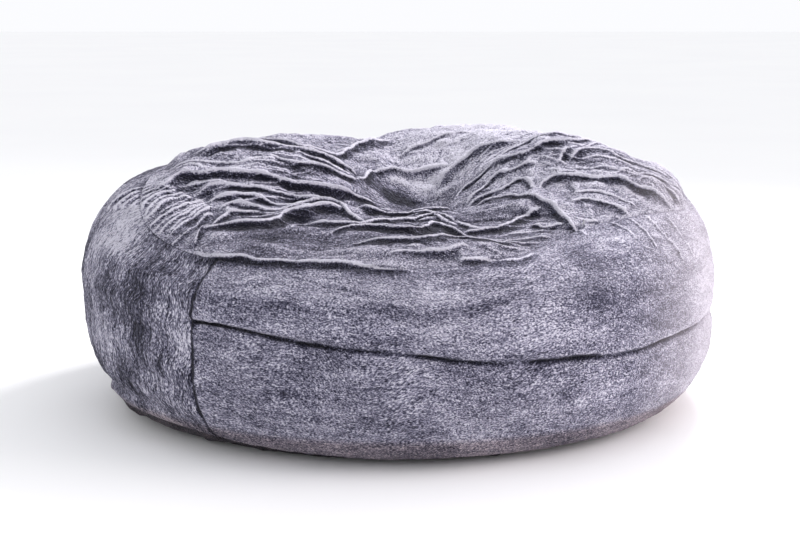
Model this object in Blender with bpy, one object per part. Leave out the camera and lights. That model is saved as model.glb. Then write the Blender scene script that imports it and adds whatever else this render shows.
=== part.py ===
"""Round foam-filled bean bag lounger: fur cover sewn from panels, inner liner,
shredded foam fill, and a zip in the back of the cover and of the liner.

Metres, +Z up, front towards -Y, origin under the middle of the base.
Angles run anticlockwise seen from above, 0 degrees towards +X.
"""
import math

import bpy
from mathutils import Matrix, Vector

# Outer shape of the cover
MAX_RADIUS = 0.915
BASE_RADIUS = 0.760
SEAM_RADIUS = 0.905
RIM_RADIUS = 0.855
SEAM_HEIGHT = 0.305
RIM_HEIGHT = 0.570
FRONT_RIM_DROP = 0.095

# Layers, each measured inwards from the outer face of the cover
BASE_THICKNESS = 0.004
COVER_THICKNESS = 0.010
LINER_DEPTH = 0.018
LINER_THICKNESS = 0.002
FOAM_DEPTH = 0.028
SEWN_GAP = 0.0004

# Where the side wall is cut into panels, in degrees
LEFT_PANEL_START = 132.0
LEFT_PANEL_END = 234.0
FRONT_BAND_END = 390.0
WALL_STEP = 6.0
FOAM_STEP = 12.0

# Zips: both run level around the back
ZIP_START = 33.0
ZIP_END = 129.0
ZIP_STEP = 3.0
COVER_ZIP_RADIUS = 0.8926
COVER_ZIP_OPENING = 0.011
LINER_ZIP_START = 54.0
LINER_ZIP_END = 114.0
LINER_ZIP_HEIGHT = 0.220
LINER_ZIP_RADIUS = 0.8896
LINER_ZIP_OPENING = 0.008
COIL_HALF_THICKNESS = 0.0014
COIL_INNER_EDGE = 0.0010
COIL_OUTER_EDGE = 0.0038
TAPE_INNER_EDGE = 0.0041
TAPE_HALF_THICKNESS = 0.0004
TAPE_REACH = 0.024
SLIDER_LENGTH = 0.024
SLIDER_HALF_HEIGHT = 0.0052
SLIDER_PLATE = 0.0014
SLIDER_CLEARANCE = 0.0006
COVER_SLIDER_ANGLE = 126.0
LINER_SLIDER_ANGLE = 108.0
PULL_LENGTH = 0.036

# Profile of the wall at the sides and back: radius, height
WALL_BELOW = (
    (BASE_RADIUS, BASE_THICKNESS),
    (0.828, 0.026),
    (0.882, 0.092),
    (0.909, 0.175),
    (MAX_RADIUS, 0.245),
    (SEAM_RADIUS, SEAM_HEIGHT),
)
WALL_ABOVE = (
    (SEAM_RADIUS, SEAM_HEIGHT),
    (0.914, 0.365),
    (0.908, 0.440),
    (0.889, 0.510),
    (RIM_RADIUS, RIM_HEIGHT),
)
# Top panel: share of the rim radius, height at the back, height at the front
TOP_RINGS = (
    (1.00, RIM_HEIGHT, RIM_HEIGHT - FRONT_RIM_DROP),
    (0.90, 0.648, 0.520),
    (0.75, 0.712, 0.552),
    (0.58, 0.752, 0.572),
    (0.40, 0.735, 0.572),
    (0.22, 0.640, 0.556),
    (0.08, 0.570, 0.548),
)
CENTRE_HEIGHT = 0.545


def clear_scene():
    for item in list(bpy.data.objects):
        bpy.data.objects.remove(item, do_unlink=True)


def material(name, color, roughness, metallic=0.0, sheen=0.0):
    made = bpy.data.materials.new(name)
    made.use_nodes = True
    shader = made.node_tree.nodes["Principled BSDF"]
    shader.inputs["Base Color"].default_value = (*color, 1.0)
    shader.inputs["Roughness"].default_value = roughness
    shader.inputs["Metallic"].default_value = metallic
    shader.inputs["Sheen Weight"].default_value = sheen
    made.diffuse_color = (*color, 1.0)
    return made


def add_object(name, points, faces, finish):
    mesh = bpy.data.meshes.new(name)
    mesh.from_pydata([tuple(point) for point in points], [], faces)
    mesh.validate()
    mesh.update()
    mesh.materials.append(finish)
    made = bpy.data.objects.new(name, mesh)
    bpy.context.scene.collection.objects.link(made)
    return made


def front_share(angle):
    """1 at the front, 0 at the sides and back, smooth in between."""
    facing = -math.sin(math.radians(angle))
    amount = min(max((facing - 0.05) / 0.95, 0.0), 1.0)
    return amount * amount * (3.0 - 2.0 * amount)


def wall_profile(angle):
    """Radius and height pairs from the base seam up to the rim."""
    rim = RIM_HEIGHT - FRONT_RIM_DROP * front_share(angle)
    squash = (rim - SEAM_HEIGHT) / (RIM_HEIGHT - SEAM_HEIGHT)
    upper = []
    for radius, height in WALL_ABOVE[1:]:
        upper.append((radius, SEAM_HEIGHT + (height - SEAM_HEIGHT) * squash))
    return list(WALL_BELOW) + upper


def top_profile(angle):
    """Radius and height pairs from the rim in to the last ring."""
    share = front_share(angle)
    humps = 0.012 * math.cos(2.0 * math.radians(angle - 35.0))
    rings = []
    for part, back, front in TOP_RINGS:
        lift = humps * math.sin(math.pi * part) * (1.0 - share)
        height = back * (1.0 - share) + front * share + lift
        rings.append((part * RIM_RADIUS, height))
    return rings


def inward(profile, depth):
    """Move a profile inwards along its own normals."""
    moved = []
    last = len(profile) - 1
    for index, (radius, height) in enumerate(profile):
        before = profile[max(index - 1, 0)]
        after = profile[min(index + 1, last)]
        along = Vector((after[0] - before[0], after[1] - before[1])).normalized()
        moved.append((radius - along.y * depth, height + along.x * depth))
    return moved


def full_profile(angle, depth):
    """Whole outline, base seam to the last top ring, moved in by depth."""
    return inward(wall_profile(angle) + top_profile(angle)[1:], depth)


SEAM_ROW = len(WALL_BELOW) - 1
RIM_ROW = SEAM_ROW + len(WALL_ABOVE) - 1


def height_row(profile, height):
    """Index of the profile segment that crosses the height, and the share."""
    for index in range(RIM_ROW):
        low = profile[index][1]
        high = profile[index + 1][1]
        if low <= height < high:
            return index, (height - low) / (high - low)
    return RIM_ROW, 0.0


def cut_profile(profile, first, last, trim_first, trim_last):
    """Rows first to last, with each end drawn back along the outline."""
    rows = list(profile[first:last + 1])
    for end, step, trim in ((0, 1, trim_first), (-1, -1, trim_last)):
        start = Vector(rows[end])
        follow = Vector(rows[end + step])
        moved = start + (follow - start).normalized() * trim
        rows[end] = (moved.x, moved.y)
    return rows


def ring_point(angle, pair):
    turn = math.radians(angle)
    return Vector((pair[0] * math.cos(turn), pair[0] * math.sin(turn), pair[1]))


def angles_between(start, end, step, trim):
    """Every step angle from start to end, drawn in at both ends by trim."""
    count = round((end - start) / step)
    angles = [start + step * index for index in range(count + 1)]
    angles[0] += trim
    angles[-1] -= trim
    return angles


def closed_slab(name, outer, inner, finish):
    """Solid sheet between two grids of points, columns of rows."""
    columns = len(outer)
    rows = len(outer[0])
    points = [point for column in outer for point in column]
    points += [point for column in inner for point in column]
    offset = columns * rows

    def spot(column, row, side):
        return side * offset + column * rows + row

    faces = []
    for column in range(columns - 1):
        for row in range(rows - 1):
            a = spot(column, row, 0)
            b = spot(column + 1, row, 0)
            c = spot(column + 1, row + 1, 0)
            d = spot(column, row + 1, 0)
            faces.append((a, b, c, d))
            faces.append(tuple(index + offset for index in (d, c, b, a)))
    for column in range(columns - 1):
        low = (spot(column, 0, 0), spot(column, 0, 1))
        low_next = (spot(column + 1, 0, 0), spot(column + 1, 0, 1))
        faces.append((low[0], low[1], low_next[1], low_next[0]))
        high = (spot(column, rows - 1, 0), spot(column, rows - 1, 1))
        high_next = (spot(column + 1, rows - 1, 0), spot(column + 1, rows - 1, 1))
        faces.append((high[1], high[0], high_next[0], high_next[1]))
    for row in range(rows - 1):
        near = (spot(0, row, 0), spot(0, row, 1))
        near_next = (spot(0, row + 1, 0), spot(0, row + 1, 1))
        faces.append((near[1], near[0], near_next[0], near_next[1]))
        far = (spot(columns - 1, row, 0), spot(columns - 1, row, 1))
        far_next = (spot(columns - 1, row + 1, 0), spot(columns - 1, row + 1, 1))
        faces.append((far[0], far[1], far_next[1], far_next[0]))
    return add_object(name, points, faces, finish)


def wall_panel(name, start, end, low, high, finish, layer=None, upright=True):
    """Part of the side wall; low and high are (row, trim) pairs."""
    depth, thickness = layer or (0.0, COVER_THICKNESS)
    trim = math.degrees(0.5 * SEWN_GAP / MAX_RADIUS) if upright else 0.0
    outer = []
    inner = []
    for angle in angles_between(start, end, WALL_STEP, trim):
        for grid, extra in ((outer, 0.0), (inner, thickness)):
            profile = full_profile(angle, depth + extra)
            rows = cut_profile(profile, low[0], high[0], low[1], high[1])
            grid.append([ring_point(angle, pair) for pair in rows])
    return closed_slab(name, outer, inner, finish)


def disc_slab(name, depth, thickness, finish):
    """Top panel: rings from the rim to the middle, closed by two fans."""
    count = round(360.0 / WALL_STEP)
    points = []
    for extra in (0.0, thickness):
        for index in range(count):
            angle = index * WALL_STEP
            profile = full_profile(angle, depth + extra)
            last = len(profile) - 1
            rows = cut_profile(profile, RIM_ROW, last, 0.5 * SEWN_GAP, 0.0)
            points += [ring_point(angle, pair) for pair in rows]
        points.append(Vector((0.0, 0.0, CENTRE_HEIGHT - depth - extra)))
    rows = len(TOP_RINGS)
    side = count * rows + 1
    faces = []
    for index in range(count):
        after = (index + 1) % count
        for row in range(rows - 1):
            quad = (index * rows + row, after * rows + row,
                    after * rows + row + 1, index * rows + row + 1)
            faces.append(quad)
            faces.append(tuple(corner + side for corner in reversed(quad)))
        tip = (index * rows + rows - 1, after * rows + rows - 1, side - 1)
        faces.append(tip)
        faces.append(tuple(corner + side for corner in reversed(tip)))
        near = index * rows
        far = after * rows
        faces.append((near, near + side, far + side, far))
    return add_object(name, points, faces, finish)


def flat_disc(name, radius, bottom, top, step, finish):
    """Round flat sheet."""
    count = round(360.0 / step)
    points = []
    for height in (bottom, top):
        for index in range(count):
            points.append(ring_point(index * step, (radius, height)))
    low = tuple(reversed(range(count)))
    high = tuple(range(count, 2 * count))
    faces = [low, high]
    for index in range(count):
        after = (index + 1) % count
        faces.append((index, after, after + count, index + count))
    return add_object(name, points, faces, finish)


def arc_bar(name, start, end, radial, heights, finish):
    """Bar of rectangular section that follows a level circle."""
    outer = []
    inner = []
    for angle in angles_between(start, end, ZIP_STEP, 0.0):
        outer.append([ring_point(angle, (radial[1], height)) for height in heights])
        inner.append([ring_point(angle, (radial[0], height)) for height in heights])
    return closed_slab(name, outer, inner, finish)


def box_parts(low, high):
    """Corner points and outward faces of a box."""
    points = []
    for z in (low[2], high[2]):
        for x, y in ((0, 0), (1, 0), (1, 1), (0, 1)):
            corner = (high[0] if x else low[0], high[1] if y else low[1], z)
            points.append(Vector(corner))
    faces = [(3, 2, 1, 0), (4, 5, 6, 7), (0, 1, 5, 4), (1, 2, 6, 5), (2, 3, 7, 6), (3, 0, 4, 7)]
    return points, faces


def plate_outline(cells_x, cells_y, keep, low, high):
    """Solid from a grid of cells in x and y, each kept cell filled low to high."""
    points = []
    index_of = {}
    faces = []

    def point(column, row, level):
        key = (column, row, level)
        if key not in index_of:
            index_of[key] = len(points)
            height = high if level else low
            points.append(Vector((cells_x[column], cells_y[row], height)))
        return index_of[key]

    for column in range(len(cells_x) - 1):
        for row in range(len(cells_y) - 1):
            if (column, row) not in keep:
                continue
            ring = ((column, row), (column + 1, row), (column + 1, row + 1), (column, row + 1))
            faces.append(tuple(point(*corner, 1) for corner in ring))
            faces.append(tuple(point(*corner, 0) for corner in reversed(ring)))
            beside = ((column, row - 1), (column + 1, row), (column, row + 1), (column - 1, row))
            for side, neighbour in enumerate(beside):
                if neighbour in keep:
                    continue
                a = ring[side]
                b = ring[(side + 1) % 4]
                faces.append((point(*a, 0), point(*b, 0), point(*b, 1), point(*a, 1)))
    return points, faces


def on_circle(angle, radius, height):
    """Frame with x along the zip, y up, z out of the bag."""
    turn = math.radians(angle)
    outwards = Vector((math.cos(turn), math.sin(turn), 0.0))
    upwards = Vector((0.0, 0.0, 1.0))
    along = upwards.cross(outwards)
    frame = Matrix((
        (along.x, upwards.x, outwards.x, outwards.x * radius),
        (along.y, upwards.y, outwards.y, outwards.y * radius),
        (along.z, upwards.z, outwards.z, height),
        (0.0, 0.0, 0.0, 1.0),
    ))
    return frame


def place(made, frame, pivot):
    """Move points into the frame and set the origin on the joint axis."""
    made.data.transform(frame)
    made.data.transform(Matrix.Translation(-pivot))
    made.location = pivot
    return made


def slider_side():
    """Section of the slider as cells: along the zip and out of the bag."""
    half = 0.5 * SLIDER_LENGTH
    channel = COIL_HALF_THICKNESS + SLIDER_CLEARANCE
    bridge = channel + SLIDER_PLATE
    cells_x = (-half, -0.0062, -0.0046, 0.0046, 0.0062, half - 0.005, half)
    cells_z = (-bridge, -channel, channel, bridge, bridge + 0.0024, bridge + 0.0036)
    return cells_x, cells_z


def zip_slider(name, angle, radius, height, pivot, finish, with_bridge):
    """Two plates joined by a post, with the bridge that holds the pull."""
    cells_x, cells_z = slider_side()
    cells_y = (-SLIDER_HALF_HEIGHT, -0.0015, -0.0005, 0.0005, 0.0015, SLIDER_HALF_HEIGHT)
    solid = set()
    columns = len(cells_x) - 1
    for column in range(columns):
        for row in range(len(cells_y) - 1):
            solid.add((column, row, 0))
            solid.add((column, row, 2))
    solid.add((columns - 1, 2, 1))
    if with_bridge:
        for row in (1, 2, 3):
            solid.update(((1, row, 3), (3, row, 3)))
            solid.update(((1, row, 4), (2, row, 4), (3, row, 4)))
    points, faces = cell_solid(cells_x, cells_y, cells_z, solid)
    made = add_object(name, points, faces, finish)
    return place(made, on_circle(angle, radius, height), pivot)


def cell_solid(cells_x, cells_y, cells_z, solid):
    """Surface of a set of filled cells in a box grid."""
    sides = (
        ((1, 0, 0), ((1, 0, 0), (1, 1, 0), (1, 1, 1), (1, 0, 1))),
        ((-1, 0, 0), ((0, 0, 0), (0, 0, 1), (0, 1, 1), (0, 1, 0))),
        ((0, 1, 0), ((0, 1, 0), (0, 1, 1), (1, 1, 1), (1, 1, 0))),
        ((0, -1, 0), ((0, 0, 0), (1, 0, 0), (1, 0, 1), (0, 0, 1))),
        ((0, 0, 1), ((0, 0, 1), (1, 0, 1), (1, 1, 1), (0, 1, 1))),
        ((0, 0, -1), ((0, 0, 0), (0, 1, 0), (1, 1, 0), (1, 0, 0))),
    )
    points = []
    index_of = {}
    faces = []
    for cell in sorted(solid):
        for step, corners in sides:
            beside = tuple(cell[axis] + step[axis] for axis in range(3))
            if beside in solid:
                continue
            face = []
            for corner in corners:
                key = tuple(cell[axis] + corner[axis] for axis in range(3))
                if key not in index_of:
                    index_of[key] = len(points)
                    x, y, z = key
                    points.append(Vector((cells_x[x], cells_y[y], cells_z[z])))
                face.append(index_of[key])
            faces.append(tuple(face))
    return points, faces


def pull_frame():
    """Where the pull turns: an upright axis just outside the slider."""
    out = COIL_HALF_THICKNESS + SLIDER_CLEARANCE + SLIDER_PLATE + 0.0012
    radius = COVER_ZIP_RADIUS + out
    return on_circle(COVER_SLIDER_ANGLE, radius, SEAM_HEIGHT)


def zip_pull(finish):
    """Flat tab with an eye that loops round the slider's bridge."""
    cells_x = (-PULL_LENGTH, -0.0095, -0.0007, 0.0007)
    cells_y = (-0.0046, -0.0032, 0.0032, 0.0046)
    keep = {(0, 0), (0, 1), (0, 2), (1, 0), (1, 2), (2, 0), (2, 1), (2, 2)}
    points, faces = plate_outline(cells_x, cells_y, keep, -0.0007, 0.0007)
    made = add_object("cover_zip_pull_tab", points, faces, finish)
    frame = pull_frame()
    return place(made, frame, frame.to_translation())


def zip_rows(prefix, start, end, radius, height, reach, tape, coil):
    """Upper and lower tape, each with its own row of coil."""
    radial_tape = (radius - TAPE_HALF_THICKNESS, radius + TAPE_HALF_THICKNESS)
    radial_coil = (radius - COIL_HALF_THICKNESS, radius + COIL_HALF_THICKNESS)
    for word, sign in (("upper", 1.0), ("lower", -1.0)):
        edges = sorted((height + sign * TAPE_INNER_EDGE, height + sign * reach))
        arc_bar(prefix + "_zip_tape_" + word, start, end, radial_tape, edges, tape)
        edges = sorted((height + sign * COIL_INNER_EDGE, height + sign * COIL_OUTER_EDGE))
        arc_bar(prefix + "_zip_coil_" + word, start, end, radial_coil, edges, coil)


def zip_stop(name, angle, radius, height, edges, finish):
    """Small clamp past the end of the coil, edges give its reach upwards."""
    half = COIL_HALF_THICKNESS
    length = 0.0025
    points, faces = box_parts((-length, edges[0], -half), (length, edges[1], half))
    made = add_object(name, points, faces, finish)
    return place(made, on_circle(angle, radius, height), Vector((0.0, 0.0, 0.0)))


def blank_label(name, angle, radius, heights, half_width, thickness, lean, finish):
    """Small blank sewn-in label that lies against the fabric."""
    low = (-half_width, heights[0], 0.0)
    points, faces = box_parts(low, (half_width, heights[1], thickness))
    made = add_object(name, points, faces, finish)
    tilt = Matrix.Rotation(lean, 4, "X")
    return place(made, on_circle(angle, radius, 0.0) @ tilt, Vector((0.0, 0.0, 0.0)))


def foam_fill(finish):
    """Body of shredded foam that fills the liner."""
    count = round(360.0 / FOAM_STEP)
    floor = BASE_THICKNESS + LINER_THICKNESS + 0.0012
    points = []
    for index in range(count):
        angle = index * FOAM_STEP
        rows = full_profile(angle, FOAM_DEPTH)
        points += [ring_point(angle, (rows[0][0] - 0.030, floor))]
        points += [ring_point(angle, pair) for pair in rows]
    rows = len(points) // count
    faces = []
    for index in range(count):
        after = (index + 1) % count
        for row in range(rows - 1):
            faces.append((index * rows + row, after * rows + row,
                          after * rows + row + 1, index * rows + row + 1))
        faces.append((index * rows + rows - 1, after * rows + rows - 1, count * rows))
    points.append(Vector((0.0, 0.0, CENTRE_HEIGHT - FOAM_DEPTH)))
    faces.append(tuple(index * rows for index in reversed(range(count))))
    return add_object("foam_fill", points, faces, finish)


def build_cover(fur, fur_dark, base):
    sewn = 0.5 * SEWN_GAP
    seam = (SEAM_ROW, sewn)
    opening = (SEAM_ROW, COVER_ZIP_OPENING)
    bottom = (0, sewn)
    rim = (RIM_ROW, sewn)
    front = (LEFT_PANEL_END, FRONT_BAND_END)
    back = (FRONT_BAND_END - 360.0, LEFT_PANEL_START)
    wall_panel("cover_left_panel", LEFT_PANEL_START, LEFT_PANEL_END, bottom, rim, fur_dark)
    wall_panel("cover_front_upper_band", *front, seam, rim, fur)
    wall_panel("cover_front_lower_band", *front, bottom, seam, fur)
    wall_panel("cover_back_upper_band", *back, opening, rim, fur)
    wall_panel("cover_back_lower_band", *back, bottom, opening, fur)
    disc_slab("cover_top_panel", 0.0, COVER_THICKNESS, fur)
    flat_disc("cover_base_panel", BASE_RADIUS - 0.002, 0.0, BASE_THICKNESS, WALL_STEP, base)


def build_cover_zip(tape, coil, metal):
    zip_rows("cover", ZIP_START, ZIP_END, COVER_ZIP_RADIUS, SEAM_HEIGHT, TAPE_REACH, tape, coil)
    args = (COVER_ZIP_RADIUS, SEAM_HEIGHT)
    near = COIL_INNER_EDGE
    far = COIL_OUTER_EDGE
    zip_stop("cover_zip_top_stop_upper", ZIP_END + 0.25, *args, (near, far), metal)
    zip_stop("cover_zip_top_stop_lower", ZIP_END + 0.25, *args, (-far, -near), metal)
    zip_stop("cover_zip_bottom_stop", ZIP_START - 0.25, *args, (-far, far), metal)
    centre = Vector((0.0, 0.0, SEAM_HEIGHT))
    zip_slider("cover_zip_slider", COVER_SLIDER_ANGLE, *args, centre, metal, True)
    zip_pull(metal)


def build_liner(cloth):
    sewn = 0.5 * SEWN_GAP
    layer = (LINER_DEPTH, LINER_THICKNESS)
    bottom = (0, sewn)
    rim = (RIM_ROW, sewn)
    half = (LINER_ZIP_START, LINER_ZIP_END)
    front = (half[1], half[0] + 360.0)
    wall_panel("liner_front_wall", *front, bottom, rim, cloth, layer)
    liner_back_wall("liner_back_upper_wall", half, True, cloth)
    liner_back_wall("liner_back_lower_wall", half, False, cloth)
    disc_slab("liner_top_panel", LINER_DEPTH, LINER_THICKNESS, cloth)
    low = BASE_THICKNESS + 0.0005
    radius = BASE_RADIUS - 0.012
    flat_disc("liner_base_panel", radius, low, low + 0.0018, 12.0, cloth)


def liner_back_wall(name, span, upper, cloth):
    """Back of the liner above or below its own zip."""
    sewn = 0.5 * SEWN_GAP
    trim = math.degrees(sewn / MAX_RADIUS)
    outer = []
    inner = []
    for angle in angles_between(*span, WALL_STEP, trim):
        for grid, extra in ((outer, 0.0), (inner, LINER_THICKNESS)):
            profile = full_profile(angle, LINER_DEPTH + extra)
            edge = LINER_ZIP_HEIGHT + (1.0 if upper else -1.0) * LINER_ZIP_OPENING
            row, share = height_row(profile, edge)
            a = Vector(profile[row])
            b = Vector(profile[row + 1])
            cut = a.lerp(b, share)
            if upper:
                rows = [(cut.x, cut.y)] + list(profile[row + 1:RIM_ROW + 1])
                rows = cut_profile(rows, 0, len(rows) - 1, 0.0, sewn)
            else:
                rows = list(profile[:row + 1]) + [(cut.x, cut.y)]
                rows = cut_profile(rows, 0, len(rows) - 1, sewn, 0.0)
            grid.append([ring_point(angle, pair) for pair in rows])
    return closed_slab(name, outer, inner, cloth)


def build_liner_zip(tape, coil, metal):
    args = (LINER_ZIP_RADIUS, LINER_ZIP_HEIGHT)
    span = (LINER_ZIP_START + 3.0, LINER_ZIP_END - 3.0)
    zip_rows("liner", *span, *args, 0.018, tape, coil)
    centre = Vector((0.0, 0.0, LINER_ZIP_HEIGHT))
    zip_slider("liner_zip_slider", LINER_SLIDER_ANGLE, *args, centre, metal, False)


def build():
    clear_scene()
    fur = material("fur_grey", (0.34, 0.33, 0.41), 0.95, sheen=0.6)
    fur_dark = material("fur_grey_side", (0.30, 0.29, 0.37), 0.95, sheen=0.6)
    base = material("base_cloth", (0.16, 0.14, 0.14), 0.90)
    cloth = material("liner_cloth", (0.72, 0.71, 0.69), 0.85)
    foam = material("foam", (0.86, 0.80, 0.62), 0.98)
    tape = material("zip_tape", (0.12, 0.12, 0.14), 0.85)
    coil = material("zip_coil", (0.10, 0.10, 0.12), 0.45)
    metal = material("zip_metal", (0.55, 0.55, 0.57), 0.30, metallic=1.0)
    label = material("label", (0.88, 0.88, 0.86), 0.80)
    build_cover(fur, fur_dark, base)
    build_cover_zip(tape, coil, metal)
    build_liner(cloth)
    build_liner_zip(tape, coil, metal)
    foam_fill(foam)
    blank_label("cover_care_label", 129.0, 0.9175, (0.165, 0.225), 0.016, 0.0006, 0.0, label)


build()
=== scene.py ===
"""Round fur-covered bean bag lounger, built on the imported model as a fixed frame."""
import math

import bpy
import numpy as np
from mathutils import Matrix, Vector


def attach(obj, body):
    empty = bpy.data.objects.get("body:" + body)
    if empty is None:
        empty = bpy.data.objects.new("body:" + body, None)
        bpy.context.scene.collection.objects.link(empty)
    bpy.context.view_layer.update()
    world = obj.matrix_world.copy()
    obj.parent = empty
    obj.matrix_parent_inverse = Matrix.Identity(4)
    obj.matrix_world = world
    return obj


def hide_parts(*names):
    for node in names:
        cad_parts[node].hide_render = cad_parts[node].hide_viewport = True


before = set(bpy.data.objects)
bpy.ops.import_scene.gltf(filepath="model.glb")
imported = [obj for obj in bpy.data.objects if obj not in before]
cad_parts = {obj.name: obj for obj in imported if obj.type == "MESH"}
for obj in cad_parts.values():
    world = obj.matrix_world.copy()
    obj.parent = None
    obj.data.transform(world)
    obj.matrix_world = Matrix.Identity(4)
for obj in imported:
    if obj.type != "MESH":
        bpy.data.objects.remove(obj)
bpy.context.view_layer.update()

# Cloth grid: cells along one quarter of the rim, and rows in each band of the wall
GRID = (480, 80, 66)

# Cloth solver, per round: furthest the cloth stands off the body, pull down, press inwards
ROUNDS = 24
CLOTH_REACH = 0.08
CLOTH_WEIGHT = 1e-5
CLOTH_PRESS = 1e-5
CLOTH_DAMPING = 0.92
CLOTH_GRIP = 0.7

# Rows left open above and below the crease where the zip shows
ZIP_ROWS = 3

# Profile rows that carry the level crease and the plain rim
CREASE_ROW = 6
RIM_ROW = 11

# Panel edges, anticlockwise from +X in degrees
BACK_EDGE = 30.0
LEFT_START = 132.0
LEFT_END = 235.5

# Flat part of the base, and how far its pile stays off the ground
FOOT_RADIUS = 0.725
FLOOR_GAP = 0.0025

ZIP_HEIGHT = 0.305
HOLLOW = (0.08, -0.01)
SEED = 7

# Inside the cover
LINER_DEPTH = 0.020
LINER_FLOOR = 0.008
FOAM_DEPTH = 0.031
FOAM_FLOOR = 0.014
COVER_ZIP_RADIUS = 0.8926
COVER_ZIP_START = 32.6
COVER_ZIP_END = 129.4
LINER_ZIP_RADIUS = 0.8896
LINER_ZIP_HEIGHT = 0.220
LINER_ZIP_START = 54.0
LINER_ZIP_END = 114.0
# Coils, in degrees between their end stops
COVER_COIL = (33.6, 128.4)
LINER_COIL = (54.6, 113.4)

# Plush of each panel: material, shade, frost, stretch, mottle, grain, fine. Shade and frost give the pale
# tips and painted light: lighter on the top and upper bands, darker on the left panel
FURS = {
    "cover_top": ("fur_top", 1.0, 0.20, 0.7, 0.6, 1.2, 2.6),
    "cover_left": ("fur_left", 1.0, -0.05, 0.26, 1.7, 1.8, 2.6),
    "cover_front_lower": ("fur_lower", 1.0, 0.07, 0.4, 0.5),
    "cover_front_upper": ("fur_upper", 1.05, 0.14, 0.4, 0.45),
    "cover_back_lower": ("fur_back_lower", 1.0, 0.05),
    "cover_back_upper": ("fur_back_upper", 1.05, 0.06),
}

# Studio: camera place, degrees down and focal length; lamps by name, place, size, watts, colour
CAMERA_PLACE = (0.004, -4.70, 1.19)
CAMERA_TILT = 10.1
CAMERA_LENS = 72.6
WORLD_LIGHT = 1.0
LAMP_AIM = (0.0, 0.0, 0.35)
LAMPS = [
    ("key", (1.3, 2.0, 3.0), 1.0, 140.0, (1.0, 0.98, 1.0)),
    ("side", (4.2, -1.2, 1.9), 2.6, 110.0, (1.0, 0.91, 0.92)),
    ("fill", (-1.0, -5.0, 2.2), 2.0, 30.0, (0.95, 0.96, 1.0)),
]


# ---- the filled body

def ease(value):
    """Smooth step from 0 to 1."""
    value = np.clip(value, 0.0, 1.0)
    return value * value * (3.0 - 2.0 * value)


def near(angle, centre, width):
    """Smooth bump over angles in radians; its centre and width are in degrees."""
    off = (angle - math.radians(centre) + np.pi) % (2.0 * np.pi) - np.pi
    return np.exp(-(off / math.radians(width)) ** 2)


def between(angle, start, end, edge):
    """1 inside a span of degrees, 0 outside, with edges that many degrees wide."""
    degrees = np.degrees(angle) % 360.0
    inside = np.minimum(degrees - start, end - degrees)
    return ease(0.5 + inside / edge)


def facing_front(angle):
    """1 at the front of the bag, falling to 0 at its sides and all round the back."""
    return ease((-np.sin(angle) - 0.05) / 0.95)


def pinch(angle):
    """How hard the level crease is drawn in, from the left seam round to the zip."""
    front = facing_front(angle)
    wander = 0.14 * np.sin(17.0 * angle + 1.0) + 0.10 * np.sin(41.0 * angle)
    soft = 0.42 + wander + 0.34 * near(angle, 240.0, 14.0) - 0.14 * near(angle, 335.0, 22.0)
    return 1.0 + (soft - 1.0) * front


def profile_rows(angle):
    """Control rows from the base seam to the middle of the hollow: radius, height."""
    front = facing_front(angle)
    one = np.ones_like(angle)
    crease = ZIP_HEIGHT + 0.066 * near(angle, 226.0, 42.0) - 0.030 * near(angle, 306.0, 34.0)
    crease = crease - 0.004 * front * np.sin(13.0 * angle)
    notch = 0.022 * pinch(angle) * (1.0 - between(angle, LEFT_START, LEFT_END, 2.5))
    rim_height = 0.570 - 0.098 * front
    lifted = near(angle, 211.0, 27.0)
    tuck = near(angle, 184.0, 22.0)
    hump = 0.018 * near(angle, 62.0, 30.0) - 0.030 * near(angle, 101.0, 13.0)
    hump = hump - 0.022 * near(angle, 130.0, 22.0)
    dent = 0.012 + 0.018 * near(angle, 172.0, 40.0)

    def mix(side, fore):
        return side * (1.0 - front) + fore * front

    shoulder = mix(0.435, 0.400)
    rows = [
        (0.745 + 0.104 * lifted, 0.014 + 0.056 * lifted),
        (0.808 + 0.056 * lifted, 0.032 + 0.060 * lifted),
        (0.864 + 0.010 * lifted - 0.034 * tuck, 0.084 + 0.032 * lifted),
        (0.899 - 0.026 * tuck, 0.150),
        (0.912 - 0.010 * tuck, 0.215),
        (0.914 - 0.25 * notch, crease - 0.022),
        (0.914 - notch, crease),
        (0.915, crease + np.minimum(0.020, 0.3 * (shoulder - crease))),
        (0.917, crease + 0.65 * (shoulder - crease)),
        (0.911, shoulder),
        (0.892, mix(0.505, 0.442)),
        (0.855, rim_height),
        (0.790, mix(0.634, 0.512)),
        (0.690, mix(0.690, 0.540) + 0.4 * hump - 0.6 * dent),
        (0.560, mix(0.736, 0.560) + 0.8 * hump - dent),
        (0.430, mix(0.750, 0.574) + hump - dent),
        (0.300, mix(0.722, 0.580) + 0.8 * hump - dent),
        (0.190, mix(0.650, 0.570) + 0.3 * hump - 0.012),
        (0.090, mix(0.580, 0.556) - 0.012),
        (0.000, 0.545),
    ]
    return [np.stack([radius * one, height * one]) for radius, height in rows]


def smooth_profile(angle, steps):
    """Catmull-Rom curve through the control rows, for every angle at once."""
    rows = profile_rows(angle)
    curve = []
    last = len(rows) - 1
    for row in range(last):
        knots = [max(row - 1, 0), row, row + 1, min(row + 2, last)]
        for step in range(steps):
            t = step / steps
            weight = (
                -0.5 * t + t * t - 0.5 * t ** 3,
                1.0 - 2.5 * t * t + 1.5 * t ** 3,
                0.5 * t + 2.0 * t * t - 1.5 * t ** 3,
                -0.5 * t * t + 0.5 * t ** 3,
            )
            curve.append(sum(w * rows[k] for w, k in zip(weight, knots)))
    r, z = np.stack(curve + [rows[last]], axis=1)
    lengths = np.hypot(np.diff(r, axis=0), np.diff(z, axis=0))
    along = np.concatenate([np.zeros((1, r.shape[1])), np.cumsum(lengths, axis=0)])
    return r, z, along


def rim_share(angle):
    """How far past the plain rim row the top seam lies, in profile rows."""
    left = 1.9 * near(angle, 176.0, 34.0)
    front = 0.9 * near(angle, 265.0, 50.0) + 1.7 * near(angle, 314.0, 24.0)
    return RIM_ROW + left + front


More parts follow.
